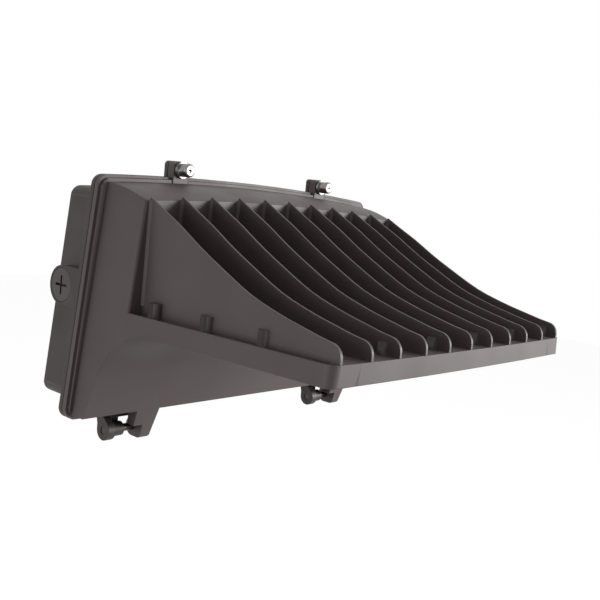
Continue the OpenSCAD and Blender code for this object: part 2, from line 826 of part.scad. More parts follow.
// Light board on the underside of the deck
module led_board() {
    color("#e8e8e4") difference() {
        translate([-board_w / 2, -lens_y - board_d / 2, -board_z]) cube([board_w, board_d, board_t]);
        board_screw_spots() translate([0, 0, -board_z]) up_hole(board_t + over);
    }
}

// Light sources on the board, one solid each
module led_packages() {
    span_x = board_w - 8 * small_screw_r;
    span_y = board_d - 10 * small_screw_r;
    color("#f1d56a") for (i = [0:led_columns - 1], j = [0:led_rows - 1]) {
        translate([span_x * (i / (led_columns - 1) - 0.5) - led_w / 2,
            -lens_y + span_y * (j / (led_rows - 1) - 0.5) - led_w / 2, -board_z - led_h]) {
            cube([led_w, led_w, led_h]);
        }
    }
}
module board_screws() {
    color("#c9cbcc") board_screw_spots() translate([0, 0, -board_z]) up_screw(board_t + deck_t / 2);
}

// Gasket, lens and frame below the light board
module lens_gasket() {
    color("#2b2b2b") difference() {
        lens_box(0, ledge_z, lens_z);
        lens_box(-lens_ledge, ledge_z - over, lens_z + over);
    }
}
module lens() {
    color("#dfe8ea") lens_box(0, lens_z, frame_z);
}
module lens_frame() {
    color("#5a5453") difference() {
        lens_box(frame_border, frame_z, frame_z + lens_frame_t);
        lens_box(-lens_ledge, 0, 2 * band_z);
        frame_screw_spots() translate([0, 0, -frame_z - lens_frame_t]) up_hole(lens_frame_t + over);
    }
}
module lens_frame_screws() {
    color("#c9cbcc") frame_screw_spots() translate([0, 0, -frame_z - lens_frame_t]) {
        up_screw(lens_frame_t + frame_screw_l - clear);
    }
}

// Driver with a screw tab at each end, on the inside of the casing's front wall
module driver() {
    left = driver_x - driver_w / 2;
    color("#e4e5e2") difference() {
        union() {
            translate([left, -inner_y, driver_foot]) cube([driver_w, driver_d, driver_h]);
            translate([left - tab_l, -inner_y, driver_foot + driver_h / 4]) {
                cube([driver_w + 2 * tab_l, tab_t, driver_h / 2]);
            }
        }
        driver_screw_spots() translate([0, over - inner_y, 0]) rotate([90, 0, 0]) up_hole(2 * over);
    }
}
module driver_screws() {
    color("#c9cbcc") driver_screw_spots() wall_screw(tab_t);
}

// Terminal block for the supply wires
module terminal_block() {
    color("#f4f2ec") difference() {
        translate([terminal_x - terminal_w / 2, -inner_y, terminal_foot]) {
            cube([terminal_w, terminal_d, terminal_h]);
        }
        terminal_screw_spots() {
            translate([0, tab_t - inner_y, 0]) rotate([-90, 0, 0]) {
                cylinder(r = small_head_r + clear, h = terminal_d, $fn = facets);
            }
            translate([0, terminal_d, 0]) wall_screw_hole();
            translate([0, over - inner_y, 0]) rotate([90, 0, 0]) up_hole(2 * over);
        }
    }
}
module terminal_screws() {
    color("#c9cbcc") terminal_screw_spots() wall_screw(tab_t);
}

// A lead swept along a route: a ring of points at each place, joined into one skin
module lead(route, r) {
    path = smooth_curve(route, lead_steps);
    last = len(path) - 1;
    rings = [for (i = [0:last])
        let (t = path[min(i + 1, last)] - path[max(i - 1, 0)], f = t / norm(t))
        let (a = cross(f, [1, 1, 1]), u = a / norm(a), v = cross(f, u))
        for (k = [0:lead_sides - 1]) path[i]
            + r * (u * cos(360 * k / lead_sides) + v * sin(360 * k / lead_sides))];
    sides = [for (i = [0:last - 1], k = [0:lead_sides - 1])
        let (n = (k + 1) % lead_sides, b = i * lead_sides)
        each [[b + k, b + n, b + lead_sides + n], [b + k, b + lead_sides + n, b + lead_sides + k]]];
    polyhedron(rings, concat(sides, [[for (k = [lead_sides - 1:-1:0]) k]],
        [[for (k = [0:lead_sides - 1]) last * lead_sides + k]]));
}

// Leads from the driver's right end, round below it and through the passage to the light board
module output_leads() {
    end = driver_x + driver_w / 2;
    high = driver_foot + driver_h / 8;
    low = -(pocket_z + ledge_z) / 2;
    middle = (high + low) / 2;
    bend = (high - low) / 2;
    for (side = [-1, 1]) {
        depth = -inner_y + driver_d / 2 + side * 0.8 * lead_d;
        x = -side * 0.8 * lead_d;
        color(side < 0 ? "#a83232" : "#222222") lead([
            [end, depth, high], [end + bend / 2, depth, high],
            [end + bend / 2 + bend * cos(45), depth, middle + bend * cos(45)],
            [end + 1.5 * bend, depth, middle],
            [end + bend / 2 + bend * cos(45), depth, middle - bend * cos(45)],
            [end + bend / 2, depth, low], [end - bend, depth, low],
            [x + 12 * lead_d, depth, low], [x + 4 * lead_d, depth, low],
            [x + 1.2 * lead_d, depth - 1.2 * lead_d, low], [x, depth - 4 * lead_d, low],
            [x, -inner_y - lead_d, low], [x, -inner_y - 10 * lead_d, low],
            [x, board_d / 2 - lens_y, low]], lead_d / 2);
    }
}

// Leads from the driver's left end to the terminal block
module input_leads() {
    end = driver_x - driver_w / 2;
    block = terminal_x - terminal_w / 2;
    for (i = [0:2]) {
        depth = -inner_y + tab_t + (1.2 + 1.8 * i) * lead_d;
        color(["#222222", "#e8e8e8", "#2f7a45"][i]) lead([
            [end, depth, driver_foot + driver_h / 8], [end - 4 * lead_d, depth, driver_foot + driver_h / 8],
            [end - 9 * lead_d, depth, driver_foot - 2 * lead_d],
            [block - 7 * lead_d, depth, terminal_foot + terminal_h / 2 + lead_d],
            [block - 3 * lead_d, depth, terminal_foot + terminal_h / 2],
            [block, depth, terminal_foot + terminal_h / 2]], lead_d / 2);
    }
}

// Earth screw on its boss in the wall box
module ground_screw() {
    color("#3f8f55") translate([ground_x, -box_wall - ground_boss_h, -ground_drop]) rotate([-90, 0, 0]) {
        cylinder(r = ground_screw_r, h = ground_boss_h - clear, $fn = facets);
        difference() {
            translate([0, 0, -small_head_h]) cylinder(r = 2 * ground_screw_r, h = small_head_h, $fn = 6);
            cross_recess(-small_head_h, 1.4 * ground_screw_r);
        }
    }
}

rear_housing();
front_housing();
housing_gasket();
hinge_pin_left();
hinge_pin_right();
latch_washer_left();
latch_washer_right();
latch_screw_left();
latch_screw_right();
plug_seal_left();
plug_seal_right();
conduit_plug_left();
conduit_plug_right();
led_board();
led_packages();
board_screws();
lens_gasket();
lens();
lens_frame();
lens_frame_screws();
driver();
driver_screws();
terminal_block();
terminal_screws();
output_leads();
input_leads();
ground_screw();
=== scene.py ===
"""Fine shapes, finishes and a plain studio for the wall pack light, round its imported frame."""

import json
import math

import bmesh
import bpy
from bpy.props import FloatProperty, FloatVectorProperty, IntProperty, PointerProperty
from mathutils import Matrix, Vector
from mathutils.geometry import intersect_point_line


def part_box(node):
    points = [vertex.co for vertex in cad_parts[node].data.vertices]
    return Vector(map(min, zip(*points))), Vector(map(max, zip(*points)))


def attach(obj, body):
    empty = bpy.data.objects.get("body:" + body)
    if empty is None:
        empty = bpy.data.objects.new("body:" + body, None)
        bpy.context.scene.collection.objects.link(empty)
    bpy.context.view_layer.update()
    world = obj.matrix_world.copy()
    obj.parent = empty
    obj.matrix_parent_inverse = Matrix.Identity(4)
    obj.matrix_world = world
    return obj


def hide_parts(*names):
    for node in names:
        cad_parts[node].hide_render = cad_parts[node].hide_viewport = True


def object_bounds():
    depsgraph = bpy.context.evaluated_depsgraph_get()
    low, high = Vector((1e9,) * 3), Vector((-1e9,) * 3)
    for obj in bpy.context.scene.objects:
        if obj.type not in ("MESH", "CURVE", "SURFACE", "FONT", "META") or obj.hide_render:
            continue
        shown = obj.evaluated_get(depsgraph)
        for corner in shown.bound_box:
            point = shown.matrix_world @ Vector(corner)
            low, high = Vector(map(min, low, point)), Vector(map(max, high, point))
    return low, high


bl_info = {
    "name": "Wall pack light",
    "version": (1, 0, 0),
    "blender": (4, 5, 0),
    "location": "View3D > Sidebar > Wall pack",
    "description": "Builds the fine shapes and finishes of a hinged wall pack light",
    "category": "Object",
}

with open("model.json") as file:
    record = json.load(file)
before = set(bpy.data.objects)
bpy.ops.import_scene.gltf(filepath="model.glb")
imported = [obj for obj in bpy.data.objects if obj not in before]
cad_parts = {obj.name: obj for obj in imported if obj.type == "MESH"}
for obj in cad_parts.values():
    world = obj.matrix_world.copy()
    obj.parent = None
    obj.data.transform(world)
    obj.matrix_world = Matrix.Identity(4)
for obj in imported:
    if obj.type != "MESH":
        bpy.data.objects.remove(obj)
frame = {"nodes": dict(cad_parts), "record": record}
CAD_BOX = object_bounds()

MM = 0.001

# Points nearer than this are one: in a CAD mesh, in a turned thread and on a cutting plane
CAD_WELD = 0.002 * MM
THREAD_WELD = 0.001 * MM
CUT_WELD = 0.0001 * MM
# Faces nearer to one plane than this angle, in degrees, are one face
FLAT_ANGLE = 0.1
# Edges that turn by more than this angle, in degrees, are rounded
ROUNDED_ANGLE = 28
# A face touches itself where it comes nearer to itself than this
TOUCH_GAP = 0.02 * MM
# Edges that turn by more than this angle, in degrees, stay sharp in the shading
SHADED_ANGLE = 35
CASTING_SHADED_ANGLE = 25
LEAD_SHADED_ANGLE = 60
# Shorter edges of a casting stay sharp, because their rounds would fold the faces over
CASTING_SHORTEST_EDGE = 4 * MM
# Radii of room that a round of a casting needs beside it on its faces
CASTING_ROOM = 1.5
# Turns of thread made beyond each end of a rod, to be cut off
SPARE_TURNS = 1.5
# Farther than this from the axis, an end face of a latch screw has only its rim
RIM_REACH = 4 * MM
# A point nearer than this to the level of an end face lies in it
LEVEL_GAP = 0.01 * MM
# Less deep than this, a face still belongs to the outer face and not to a recess in it, and gets no
# painted shade
RECESS_START = 0.02 * MM
# Width of the smears that make the lens's gloss uneven: about a hand
SMEAR_MM = 60
# Digits of a place, in metres, that set the order of the like solids of a node
ORDER_DIGITS = 5


def linear(hex_colour):
    """Turns an sRGB hex colour into linear red, green and blue."""
    channels = [int(hex_colour[i : i + 2], 16) / 255 for i in (1, 3, 5)]
    return [c / 12.92 if c <= 0.04045 else ((c + 0.055) / 1.055) ** 2.4 for c in channels]


def colour_property(name, hex_colour, description):
    """A colour that the panel shows, with its default from a hex value."""
    return FloatVectorProperty(
        name=name,
        description=description,
        subtype="COLOR",
        size=3,
        min=0,
        max=1,
        default=linear(hex_colour),
    )


def length_property(name, millimetres, description):
    """A length that the panel shows, with its default in millimetres."""
    return FloatProperty(
        name=name,
        description=description,
        subtype="DISTANCE",
        unit="LENGTH",
        min=0,
        precision=5,
        default=millimetres * MM,
    )


class WallPackSizes(bpy.types.PropertyGroup):
    """Sizes of the fine shapes."""

    casting_edge: length_property(
        "Casting edge", 0.45, "Radius of the castings' edges under the coat"
    )
    plate_edge: length_property(
        "Plate edge", 0.3, "Radius of the edges of plates, cases and mouldings"
    )
    seal_edge: length_property("Seal edge", 0.5, "Radius of the edges of the rubber seals")
    metal_edge: length_property(
        "Metal edge", 0.22, "Radius of the edges of screws, washers and pins"
    )
    head_rim: length_property("Head rim", 1.8, "Radius of the rim of a latch screw's head")
    latch_rod: length_property("Latch rod", 3.0, "Radius of a latch screw's thread")
    latch_pitch: length_property(
        "Latch thread pitch", 1.0, "Distance between two turns of a latch screw's thread"
    )
    latch_depth: length_property("Latch thread depth", 0.55, "Depth of a latch screw's thread")
    plug_rod: length_property("Plug rod", 10.2, "Radius of a plug's thread")
    plug_pitch: length_property(
        "Plug thread pitch", 1.814, "Distance between two turns of a plug's thread"
    )
    plug_depth: length_property("Plug thread depth", 1.0, "Depth of a plug's thread")
    head_recess: length_property(
        "Head recess", 3.2, "Reach of the cross recess in a latch screw's head"
    )
    # How deep the painted shade reaches into a recess
    painted_shade_depth: length_property("Recess depth", 2.2, "Depth down to which a recess gets painted shade")
    chip_height: length_property("Chip height", 0.5, "Height of a light source's ceramic base")
    dome_radius: length_property("Dome radius", 1.4, "Radius of the dome on a light source")
    floor_drop: length_property(
        "Floor drop", 700.0, "Distance from the light's foot to the studio floor"
    )
    turn_steps: IntProperty(
        name="Turn steps", description="Facets in a full turn", min=12, max=96, default=48
    )


class WallPackColours(bpy.types.PropertyGroup):
    """Colours of the finishes."""

    door_coat: colour_property("Door coat", "#4f4445", "Dark bronze coat of the door casting")
    # The wall box has the door's bronze coat; the box colour is set darker than the door's, and
    # that difference is painted shade where the flange overhangs the box
    box_coat_with_painted_shade: colour_property("Box coat with painted shade", "#2b2122", "Dark bronze coat of the wall box, darkened with painted shade of the flange")
    plug_coat: colour_property("Plug coat", "#494041", "Dark bronze coat of the conduit plugs")
    # Painted shade: the dark colour of the plugs' slots and the latch screws' recesses
    recess: colour_property(
        "Recess", "#171415", "Painted shade in the plugs' slots and the latch screws' recesses"
    )
    rubber: colour_property("Rubber", "#242323", "Gaskets and seals")
    stainless: colour_property("Stainless", "#858381", "Latch screws and washers")
    zinc: colour_property("Zinc plate", "#b9bbbd", "Small screws")
    pin: colour_property("Pin steel", "#4b4746", "Hinge pins")
    board: colour_property("Board", "#eceae4", "White solder resist of the light board")
    ceramic: colour_property("Ceramic", "#f4f2ec", "Bases of the light sources")
    phosphor: colour_property("Phosphor", "#e8c24a", "Phosphor of the light sources")
    driver: colour_property("Driver case", "#dfe0dc", "Enamel of the driver's case")
    nylon: colour_property("Nylon", "#efece2", "Terminal block")
    glass: colour_property("Glass", "#f3f8f6", "Tempered lens")
    black_lead: colour_property("Black lead", "#1d1d1d", "Insulation of the black leads")
    white_lead: colour_property("White lead", "#e4e3df", "Insulation of the white lead")
    red_lead: colour_property("Red lead", "#a33030", "Insulation of the red lead")
    earth: colour_property("Earth green", "#2f7d46", "Earth screw and earth lead")


def sizes():
    """The sizes that the panel holds."""
    return bpy.context.scene.wall_pack_sizes


def colours():
    """The colours that the panel holds."""
    return bpy.context.scene.wall_pack_colours


def add_node(tree, kind, inputs=None, **settings):
    """Adds a shader node, with its settings and with values or links on its inputs."""
    node = tree.nodes.new(kind)
    for name, value in settings.items():
        setattr(node, name, value)
    for name, value in (inputs or {}).items():
        if isinstance(value, bpy.types.NodeSocket):
            tree.links.new(value, node.inputs[name])
        else:
            node.inputs[name].default_value = value
    return node


def new_material(name):
    """An empty node material with its output, or the one made before."""
    made = bpy.data.materials.get(name)
    if made:
        return made, None, None
    made = bpy.data.materials.new(name)
    made.use_nodes = True
    tree = made.node_tree
    tree.nodes.clear()
    return made, tree, tree.nodes.new("ShaderNodeOutputMaterial")


def surface(
    name, colour, *, grain_mm, bump_mm, cloud_mm, cloud, roughness, rough_spread=0.05, **constants
):
    """A finish with a fine grain in its height and a slow cloud in its tone and gloss."""
    made, tree, output = new_material(name)
    if tree is None:
        return made
    place = add_node(tree, "ShaderNodeTexCoord").outputs["Object"]
    grain = add_node(
        tree,
        "ShaderNodeTexNoise",
        {"Vector": place, "Scale": 1 / (grain_mm * MM), "Detail": 3.0, "Roughness": 0.55},
    )
    slow = add_node(
        tree,
        "ShaderNodeTexNoise",
        {"Vector": place, "Scale": 1 / (cloud_mm * MM), "Detail": 2.0, "Roughness": 0.5},
    )
    dark = [c * (1 - cloud) for c in colour]
    light = [min(c * (1 + cloud), 1) for c in colour]
    tone = mix_colours(tree, slow.outputs["Fac"], dark, light)
    gloss = add_node(
        tree,
        "ShaderNodeMapRange",
        {
            "Value": slow.outputs["Fac"],
            "From Min": 0.3,
            "From Max": 0.7,
            "To Min": roughness - rough_spread,
            "To Max": roughness + rough_spread,
        },
    )
    bump = add_node(
        tree,
        "ShaderNodeBump",
        {"Height": grain.outputs["Fac"], "Strength": 0.5, "Distance": bump_mm * MM},
    )
    shader = add_node(
        tree,
        "ShaderNodeBsdfPrincipled",
        {
            "Base Color": tone,
            "Roughness": gloss.outputs["Result"],
            "Normal": bump.outputs["Normal"],
            **constants,
        },
    )
    tree.links.new(shader.outputs["BSDF"], output.inputs["Surface"])
    return made


def mix_colours(tree, factor, dark, light):
    """The colour between two, by a factor."""
    node = tree.nodes.new("ShaderNodeMix")
    node.data_type = "RGBA"
    tree.links.new(factor, node.inputs["Factor"])
    node.inputs["A"].default_value = [*dark, 1]
    node.inputs["B"].default_value = [*light, 1]
    return node.outputs["Result"]


def coat(name, colour):
    """Polyester powder coat on a die casting: a fine stipple and a satin, faintly clouded gloss."""
    return surface(
        name,
        colour,
        grain_mm=0.9,
        bump_mm=0.06,
        cloud_mm=35,
        cloud=0.03,
        roughness=0.54,
    )


# Painted shade that darkens the recesses of the screws and plugs
def painted_recess_shade():
    """Painted shade in a tool's recess: dark and dull."""
    return surface(
        "recess_painted_shade",
        colours().recess,
        grain_mm=0.5,
        bump_mm=0.02,
        cloud_mm=2,
        cloud=0.2,
        roughness=0.8,
    )


def rubber():
    """EPDM rubber, moulded: dark, matt, with a faint bloom."""
    return surface(
        "epdm_rubber",
        colours().rubber,
        grain_mm=0.6,
        bump_mm=0.02,
        cloud_mm=12,
        cloud=0.12,
        roughness=0.72,
    )


def stainless():
    """Stainless steel, cold headed and left as struck: grey, with a dull sheen and tool marks."""
    return surface(
        "stainless_steel",
        colours().stainless,
        grain_mm=1.4,
        bump_mm=0.004,
        cloud_mm=5,
        cloud=0.03,
        roughness=0.34,
        rough_spread=0.04,
        Metallic=1.0,
    )


def zinc():
    """Zinc-plated steel, rolled: bright grey with a soft sheen."""
    return surface(
        "zinc_plated_steel",
        colours().zinc,
        grain_mm=0.8,
        bump_mm=0.006,
        cloud_mm=4,
        cloud=0.06,
        roughness=0.32,
        rough_spread=0.06,
        Metallic=1.0,
    )


def pin_steel():
    """Steel rod, drawn and blackened: dark grey with a dull sheen."""
    return surface(
        "drawn_steel",
        colours().pin,
        grain_mm=0.5,
        bump_mm=0.004,
        cloud_mm=3,
        cloud=0.08,
        roughness=0.4,
        rough_spread=0.06,
        Metallic=1.0,
    )


def solder_resist():
    """White solder resist on an aluminium board, screen printed: smooth, with a slight gloss."""
    return surface(
        "white_solder_resist",
        colours().board,
        grain_mm=1.0,
        bump_mm=0.004,
        cloud_mm=20,
        cloud=0.02,
        roughness=0.35,
    )


def ceramic():
    """Alumina, pressed and fired: chalky white."""
    return surface(
        "fired_alumina",
        colours().ceramic,
        grain_mm=0.4,
        bump_mm=0.003,
        cloud_mm=2,
        cloud=0.03,
        roughness=0.5,
    )


def phosphor():
    """Phosphor in silicone, dispensed: waxy yellow."""
    return surface(
        "phosphor_silicone",
        colours().phosphor,
        grain_mm=0.4,
        bump_mm=0.004,
        cloud_mm=1.5,
        cloud=0.08,
        roughness=0.28,
    )


def enamel():
    """Stoved enamel on a steel case: smooth, with a faint orange peel."""
    return surface(
        "stoved_enamel",
        colours().driver,
        grain_mm=2.5,
        bump_mm=0.01,
        cloud_mm=30,
        cloud=0.02,
        roughness=0.3,
    )


def nylon():
    """Nylon, injection moulded: creamy and slightly waxy."""
    return surface(
        "moulded_nylon",
        colours().nylon,
        grain_mm=0.8,
        bump_mm=0.006,
        cloud_mm=10,
        cloud=0.03,
        roughness=0.42,
    )


def earth_green():
    """Green dyed zinc plate."""
    return surface(
        "green_zinc_plate",
        colours().earth,
        grain_mm=0.8,
        bump_mm=0.006,
        cloud_mm=3,
        cloud=0.08,
        roughness=0.35,
        rough_spread=0.05,
        Metallic=0.6,
    )


def insulation(name, colour):
    """Extruded PVC insulation: smooth, with a soft gloss."""
    return surface(
        name,
        colour,
        grain_mm=0.5,
        bump_mm=0.004,
        cloud_mm=6,
        cloud=0.05,
        roughness=0.4,
    )


def tempered_glass():
    """Tempered float glass with polished faces: clear, with a faint cool tint."""
    made, tree, output = new_material("tempered_glass")
    if tree is None:
        return made
    place = add_node(tree, "ShaderNodeTexCoord").outputs["Object"]
    smear = add_node(
        tree,
        "ShaderNodeTexNoise",
        {"Vector": place, "Scale": 1 / (SMEAR_MM * MM), "Detail": 3.0},
    )
    gloss = add_node(
        tree,
        "ShaderNodeMapRange",
        {
            "Value": smear.outputs["Fac"],
            "From Min": 0.35,
            "From Max": 0.75,
            "To Min": 0.01,
            "To Max": 0.05,
        },
    )
    shader = add_node(
        tree,
        "ShaderNodeBsdfPrincipled",
        {
            "Base Color": [*colours().glass, 1],
            "Roughness": gloss.outputs["Result"],
            "IOR": 1.52,
            "Transmission Weight": 1.0,
        },
    )
    tree.links.new(shader.outputs["BSDF"], output.inputs["Surface"])
    return made


NODE_BODY = {
    node: body for body, nodes in frame["record"]["behaviour"]["bodies"].items() for node in nodes
}


def merged_copy(node):
    """A copy of a node's mesh as a shell, with its doubles merged and its flat faces made whole."""
    shell = bmesh.new()
    shell.from_mesh(frame["nodes"][node].data)
    bmesh.ops.remove_doubles(shell, verts=shell.verts, dist=CAD_WELD)
    bmesh.ops.dissolve_limit(
        shell, angle_limit=math.radians(FLAT_ANGLE), verts=shell.verts, edges=shell.edges
    )
    return shell


def pinched(shell, room):
    """The edges at which a face has no room for a round, which would fold the face over."""
    found = set()
    for face in shell.faces:
        for vert in face.verts:
            for edge in face.edges:
                if vert in edge.verts:
                    continue
                near, share = intersect_point_line(vert.co, edge.verts[0].co, edge.verts[1].co)
                if 0 < share < 1 and (near - vert.co).length < room:
                    found.add(edge)
                    found.update(e for e in vert.link_edges if face in e.link_faces)
    return found


def softened(shell, radius, segments=2, shortest=0.0, chosen=None, room=TOUCH_GAP):
    """Rounds the sharp outer and inner edges of a shell, where its faces have room for it."""
    touching = pinched(shell, room)
    edges = [
        e
        for e in shell.edges
        if len(e.link_faces) == 2
        and e not in touching
        and e.calc_face_angle() > math.radians(ROUNDED_ANGLE)
        and e.calc_length() > shortest
        and (chosen is None or chosen(e))
    ]
    bmesh.ops.bevel(
        shell,
        geom=edges,
        offset=radius,
        offset_type="OFFSET",
        affect="EDGES",
        segments=segments,
        profile=0.5,
        material=-1,
        clamp_overlap=False,
    )
    return shell


def cut_off(shell, place, direction):
    """Cuts a closed shell by a plane, drops what is on the plane's far side and closes the cut."""
    cut = bmesh.ops.bisect_plane(
        shell,
        geom=[*shell.verts, *shell.edges, *shell.faces],
        dist=CUT_WELD,
        plane_co=place,
        plane_no=direction,
        clear_outer=True,
    )
    rim = [e for e in cut["geom_cut"] if isinstance(e, bmesh.types.BMEdge)]
    bmesh.ops.holes_fill(shell, edges=rim, sides=0)
    return shell


def threaded_rod(radius, depth, pitch, start, end):
    """A rod along Z with a pointed thread on it, closed at both ends."""
    shell = bmesh.new()
    low = start - SPARE_TURNS * pitch
    halves = 2 * math.ceil((end - start) / pitch + 2 * SPARE_TURNS)
    steps = sizes().turn_steps
    points = [
        shell.verts.new((radius - (depth if i % 2 else 0), 0, low + i * pitch / 2))
        for i in range(halves)
    ]
    edges = [shell.edges.new(pair) for pair in zip(points, points[1:])]
    bmesh.ops.spin(
        shell,
        geom=[*points, *edges],
        cent=(0, 0, 0),
        axis=(0, 0, 1),
        dvec=(0, 0, pitch / steps),
        angle=math.tau,
        steps=steps,
        use_merge=False,
    )
    bmesh.ops.remove_doubles(shell, verts=shell.verts, dist=THREAD_WELD)
    cut_off(shell, (0, 0, start), (0, 0, -1))
    cut_off(shell, (0, 0, end), (0, 0, 1))
    bmesh.ops.recalc_face_normals(shell, faces=shell.faces)
    return shell


def joined(shell, other, turn=Matrix()):
    """Adds another shell to a shell, turned into its place."""
    bmesh.ops.transform(other, matrix=turn, verts=other.verts)
    spare = bpy.data.meshes.new("spare")
    other.to_mesh(spare)
    other.free()
    shell.from_mesh(spare)
    bpy.data.meshes.remove(spare)
    return shell


def finish_piece(shell, node, *materials, sharp=SHADED_ANGLE):
    """Makes the piece that stands for a node from a shell, on the node's body, with its finish."""
    mesh = bpy.data.meshes.new(node + "_fine")
    shell.to_mesh(mesh)
    shell.free()
    mesh.shade_smooth()
    mesh.set_sharp_from_angle(angle=math.radians(sharp))
    for material in materials:
        mesh.materials.append(material)
    piece = bpy.data.objects.new(node + "_fine", mesh)
    bpy.context.scene.collection.objects.link(piece)
    even = piece.modifiers.new("even_shading", "WEIGHTED_NORMAL")
    even.keep_sharp = True
    even.weight = 50
    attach(piece, NODE_BODY[node])
    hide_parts(node)
    plain = frame["nodes"][node].data
    plain.materials.clear()
    plain.materials.append(materials[0])
    return piece


class WALLPACK_OT_stage(bpy.types.Operator):
    """Set the floor, the light and the camera of the studio"""

    bl_idname = "wallpack.stage"
    bl_label = "Stage"

    def execute(self, context):
        scene = context.scene
        scene.view_settings.view_transform = "Standard"
        low, high = CAD_BOX
        shell = bmesh.new()
        bmesh.ops.create_grid(shell, x_segments=1, y_segments=1, size=FLOOR_REACH)
        bmesh.ops.translate(shell, verts=shell.verts, vec=(0, 0, low.z - sizes().floor_drop))
        mesh = bpy.data.meshes.new("studio_floor")
        shell.to_mesh(mesh)
        shell.free()
        mesh.materials.append(floor_material())
        floor = bpy.data.objects.new("studio_floor", mesh)
        scene.collection.objects.link(floor)
        studio_world(scene)
        centre = (low + high) / 2
        for name, size, energy, place in LAMPS:
            lamp = bpy.data.lights.new(name, "AREA")
            lamp.shape = "SQUARE"
            lamp.size = size
            lamp.energy = energy
            holder = bpy.data.objects.new(name, lamp)
            scene.collection.objects.link(holder)
            holder.location = centre + Vector(place)
            holder.rotation_euler = (-Vector(place)).to_track_quat("-Z", "Y").to_euler()
        camera = bpy.data.objects.new("camera", bpy.data.cameras.new("camera"))
        scene.collection.objects.link(camera)
        camera.data.sensor_width = CAMERA_SENSOR
        camera.data.lens = CAMERA_LENS
        camera.data.clip_start, camera.data.clip_end = CAMERA_CLIP
        turn = Matrix(CAMERA_TURN).to_4x4()
        camera.matrix_world = Matrix.Translation(CAMERA_PLACE) @ turn
        scene.camera = camera
        return {"FINISHED"}


# Name, size in metres, power in watts and place from the light's middle
LAMPS = (
    ("front_right_lamp", 1.0, 76, (1.95, -1.8, 0.35)),
    ("left_lamp", 1.0, 5.6, (-1.5, 0.1, -0.1)),
)
# From the middle of the floor to its side, in metres
FLOOR_REACH = 6.0
# What the floor gives back of the light on it, and what it adds where it is looked at
FLOOR_COLOUR = (0.25, 0.25, 0.25, 1)
FLOOR_GLOW = 0.9
SKY_LIGHT = 0.3
# The camera that was fitted to the light's straight edges: millimetres, then metres
CAMERA_SENSOR = 36
CAMERA_LENS = 49.96
CAMERA_CLIP = (0.01, 50)
CAMERA_PLACE = (-0.50502, -0.548475, 0.080159)
CAMERA_TURN = (
    (0.660082, 0.021416, -0.750888),
    (-0.744059, 0.156077, -0.649628),
    (0.103284, 0.987513, 0.118958),
)


def looked_at(tree):
    """A factor of 1 for the rays of the camera, straight or by way of metal and glass."""
    path = add_node(tree, "ShaderNodeLightPath")
    seen = path.outputs["Is Camera Ray"]
    for kind in ("Is Glossy Ray", "Is Transmission Ray"):
        either = add_node(
            tree, "ShaderNodeMath", {0: seen, 1: path.outputs[kind]}, operation="MAXIMUM"
        )
        seen = either.outputs[0]
    return seen


def floor_material():
    """Pale studio floor: white to the camera, and still dimmed by the light's shadow."""
    made, tree, output = new_material("studio_white")
    if tree is None:
        return made
    seen = looked_at(tree)
    paint = add_node(tree, "ShaderNodeBsdfDiffuse", {"Color": FLOOR_COLOUR})
    glow = add_node(tree, "ShaderNodeEmission", {"Strength": FLOOR_GLOW})
    both = add_node(tree, "ShaderNodeAddShader", {0: paint.outputs[0], 1: glow.outputs[0]})
    mixed = add_node(
        tree, "ShaderNodeMixShader", {0: seen, 1: paint.outputs[0], 2: both.outputs[0]}
    )
    tree.links.new(mixed.outputs[0], output.inputs["Surface"])
    return made


def studio_world(scene):
    """A soft even sky that is white where the camera, metal or glass looks at it."""
    world = bpy.data.worlds.new("studio")
    world.use_nodes = True
    tree = world.node_tree
    tree.nodes.clear()
    seen = looked_at(tree)
    soft = add_node(tree, "ShaderNodeBackground", {"Color": [1, 1, 1, 1], "Strength": SKY_LIGHT})
    white = add_node(tree, "ShaderNodeBackground", {"Color": [1, 1, 1, 1], "Strength": 1.0})
    mixed = add_node(
        tree, "ShaderNodeMixShader", {0: seen, 1: soft.outputs[0], 2: white.outputs[0]}
    )
    output = add_node(tree, "ShaderNodeOutputWorld")
    tree.links.new(mixed.outputs[0], output.inputs["Surface"])
    scene.world = world


class WALLPACK_OT_castings(bpy.types.Operator):
    """Round the edges of the wall box and the door and coat them"""

    bl_idname = "wallpack.castings"
    bl_label = "Castings"

    def execute(self, context):
        edge = sizes().casting_edge
        for node, material in (
            # The box's coat is darkened with painted shade where the flange overhangs it
            ("rear_housing", coat("powder_coat_box_with_painted_shade", colours().box_coat_with_painted_shade)),
            ("front_housing", coat("powder_coat_door", colours().door_coat)),
        ):
            casting = softened(
                merged_copy(node), edge, shortest=CASTING_SHORTEST_EDGE, room=CASTING_ROOM * edge
            )
            finish_piece(casting, node, material, sharp=CASTING_SHADED_ANGLE)
        return {"FINISHED"}


class WALLPACK_OT_seals(bpy.types.Operator):
    """Round the rubber of the housing gasket, the lens gasket and the plug seals"""

    bl_idname = "wallpack.seals"
    bl_label = "Seals"

    def execute(self, context):
        for node in ("housing_gasket", "lens_gasket", "plug_seal_left", "plug_seal_right"):
            # At most a quarter of the seal's thickness
            edge = min(sizes().seal_edge, min(box_sizes(node)) / 4)
            finish_piece(softened(merged_copy(node), edge), node, rubber())
        return {"FINISHED"}


def box_sizes(node):
    """Width, depth and height of a node's box."""
    low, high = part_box(node)
    return [top - bottom for bottom, top in zip(low, high)]


class WALLPACK_OT_hinge_pins(bpy.types.Operator):
    """Round the ends of the hinge pins"""

    bl_idname = "wallpack.hinge_pins"
    bl_label = "Hinge pins"

    def execute(self, context):
        for side in ("left", "right"):
            node = "hinge_pin_" + side
            finish_piece(softened(merged_copy(node), sizes().metal_edge), node, pin_steel())
        return {"FINISHED"}


